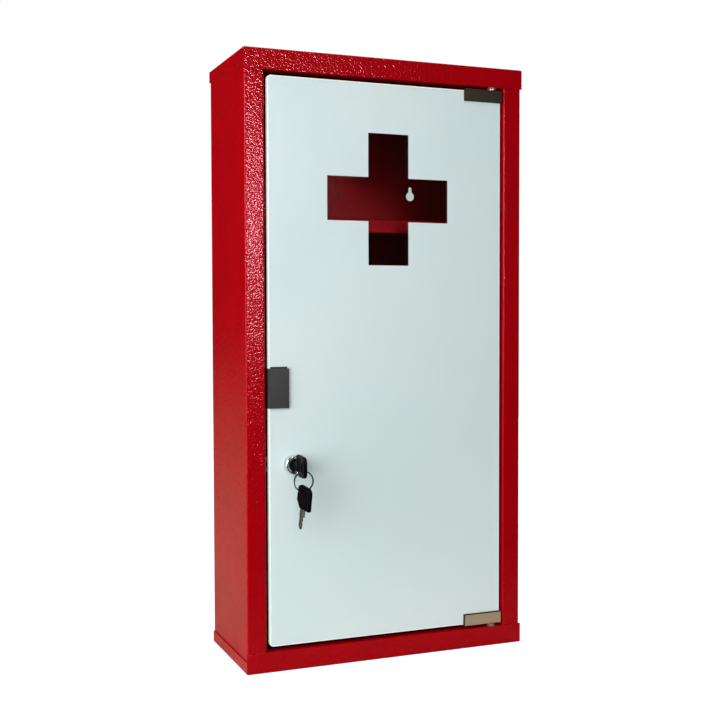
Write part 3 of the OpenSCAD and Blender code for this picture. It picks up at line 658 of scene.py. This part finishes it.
def makeRing(materials):
    # split ring: one wire wound twice, which steps across at the middle of its length; the
    # tube is a small circle carried along that path, drawn in to a dome at each end
    look = ringLook
    lock = lockCentre()
    t = np.linspace(look["gap"], 4 * np.pi - look["gap"], look["rows"])
    step = np.tanh((t - 2 * np.pi) / look["crossing"])
    turn = t + math.radians(look["seam"])
    out = np.stack([np.cos(turn), np.zeros_like(turn), np.sin(turn)], axis=1)
    path = look["radius"] * out + np.stack([np.zeros_like(t), look["pitch"] / 2 * step, np.zeros_like(t)], axis=1)
    fromEnd = look["radius"] * np.minimum(t - t[0], t[-1] - t)
    # the end rows keep a little radius, so that each cap is a face with an area
    wire = look["wire"] * np.sqrt(1 - (1 - np.clip(fromEnd / look["wire"], 0.02, 1)) ** 2)
    around = np.linspace(0, 2 * np.pi, look["around"], endpoint=False)
    tube = path[:, None] + wire[:, None, None] * (np.cos(around)[None, :, None] * out[:, None]
                                                 + np.sin(around)[None, :, None] * np.array([0, 1, 0]))
    tube = tube + np.array([lock[0], keyPlace["ringY"], look["centreZ"]])
    addPiece("splitRing", tube, (False, True), materials["ringSteel"], "ring", ["key_ring"], capped=True)


# lock

# the dish is the sunk face round the plug, from the bore outwards, as radius and depth
barrelLook = {"bore": 5.55, "boreEdge": 0.3, "bezel": 9.5, "bezelLong": 7.0, "lip": 1.35, "lipSteps": 9,
              "bezelFrom": 2.0, "backEdge": 0.5, "barrel": 8.0, "long": 20.1, "endEdge": 0.4, "threadPitch": 1.0,
              "threadDeep": 0.35, "threadFrom": 0.5, "lockFace": -67.8, "around": 120,
              "dish": ((5.55, 1.15), (5.85, 0.8), (6.5, 0.8), (6.75, 0.72), (7.55, 0.14), (7.8, 0.02))}


def makeBarrel(materials):
    # bezel and barrel turned from one bar: a closed profile of radius and depth spun round
    # the lock's axis, with the thread as a wave that slips one pitch for each turn
    look = barrelLook
    lock = lockCentre()
    bore, bezel, barrel, back, end = (look[k] for k in ("bore", "bezel", "barrel", "bezelLong", "long"))
    rim = np.linspace(0, np.pi / 2, look["lipSteps"])
    lip = np.stack([bezel - look["lip"] + look["lip"] * np.sin(rim), look["lip"] * (1 - np.cos(rim))], axis=1)
    depth = np.arange(back + look["threadFrom"], end - look["endEdge"], look["threadPitch"] / 6)
    thread = np.stack([np.full_like(depth, barrel), depth], axis=1)
    # the far edge of the bezel is broken in two small flats
    backEdge = look["backEdge"]
    bezelSide = [(bezel, look["bezelFrom"]), (bezel, back - backEdge),
                 (bezel - 0.3 * backEdge, back - 0.3 * backEdge), (bezel - backEdge, back),
                 (barrel - look["threadDeep"], back)]
    head = np.vstack([[(bore, end - look["boreEdge"])], look["dish"], lip, bezelSide])
    profile = np.vstack([head, thread, [(barrel - look["endEdge"], end), (bore + look["boreEdge"], end)]])
    threaded = slice(len(head), len(head) + len(thread))
    turn = np.linspace(0, 2 * np.pi, look["around"], endpoint=False)
    radius = np.repeat(profile[None, :, 0], len(turn), axis=0)
    wave = profile[None, threaded, 1] / look["threadPitch"] - turn[:, None] / (2 * np.pi)
    radius[:, threaded] -= look["threadDeep"] * (0.5 - 0.5 * np.cos(2 * np.pi * wave))
    points = np.stack([lock[0] + radius * np.cos(turn)[:, None],
                       np.broadcast_to(look["lockFace"] + profile[None, :, 1], radius.shape),
                       lock[1] + radius * np.sin(turn)[:, None]], axis=-1)
    addPiece("lockBarrel", points, (True, True), materials["chrome"], "door", ["lock_barrel"])


# pull

pullLook = {"web": 1.2, "face": 2.0, "outerCorner": 2.2, "cornerSteps": 9, "soft": 0.3, "softSteps": 3}


def makePull(materials):
    # moulded clip over the edge of the pane: its C-shaped outline, rounded at the corner
    # towards the room, is carried upright from its lower to its upper end, and the edges are
    # softened by a bevel
    look = pullLook
    low, high = (np.array(corner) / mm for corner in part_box("pull_clip"))
    turn = np.linspace(np.pi, 1.5 * np.pi, look["cornerSteps"])
    corner = np.stack([low[0] + look["outerCorner"] * (1 + np.cos(turn)),
                       low[1] + look["outerCorner"] * (1 + np.sin(turn))], axis=1)
    inside = low[0] + look["web"]
    outline = np.vstack([corner, [[high[0], low[1]], [high[0], low[1] + look["face"]],
                                  [inside, low[1] + look["face"]], [inside, high[1] - look["face"]],
                                  [high[0], high[1] - look["face"]], [high[0], high[1]], [low[0], high[1]]]])
    shape = (2, len(outline))
    points = np.stack([np.broadcast_to(outline[:, 0], shape), np.broadcast_to(outline[:, 1], shape),
                       np.broadcast_to([[high[2]], [low[2]]], shape)], axis=-1)
    pull = addPiece("edgePull", points, (False, True), materials["charcoal_plastic"], "door",
                    ["pull_clip"], capped=True)
    bevel = pull.modifiers.new("softEdges", "BEVEL")
    bevel.width, bevel.segments, bevel.limit_method = look["soft"] * mm, look["softSteps"], "ANGLE"
    bevel.angle_limit = creaseAngle
    bevel.harden_normals = True


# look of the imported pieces

def dressNodes(materials):
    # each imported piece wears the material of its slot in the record
    slots = {row["node"]: row["material_slot"] for row in frame["record"]["subparts"]}
    for name, node in frame["nodes"].items():
        node.data.materials.clear()
        node.data.materials.append(materials[slots[name]])


scene.view_settings.view_transform = "Standard"
makeCamera()
makeWorld()
makeLamps()
makeFloor()
print("camera, room,", len(lampLook), "lamps and floor set")
materials = makeMaterials()
dressNodes(materials)
print("materials on", len(frame["nodes"]), "packed pieces")
makePane(materials)
makeBarrel(materials)
makePull(materials)
makeKeys(materials)
makeRing(materials)
print("pane, lock, pull, keys and ring built")
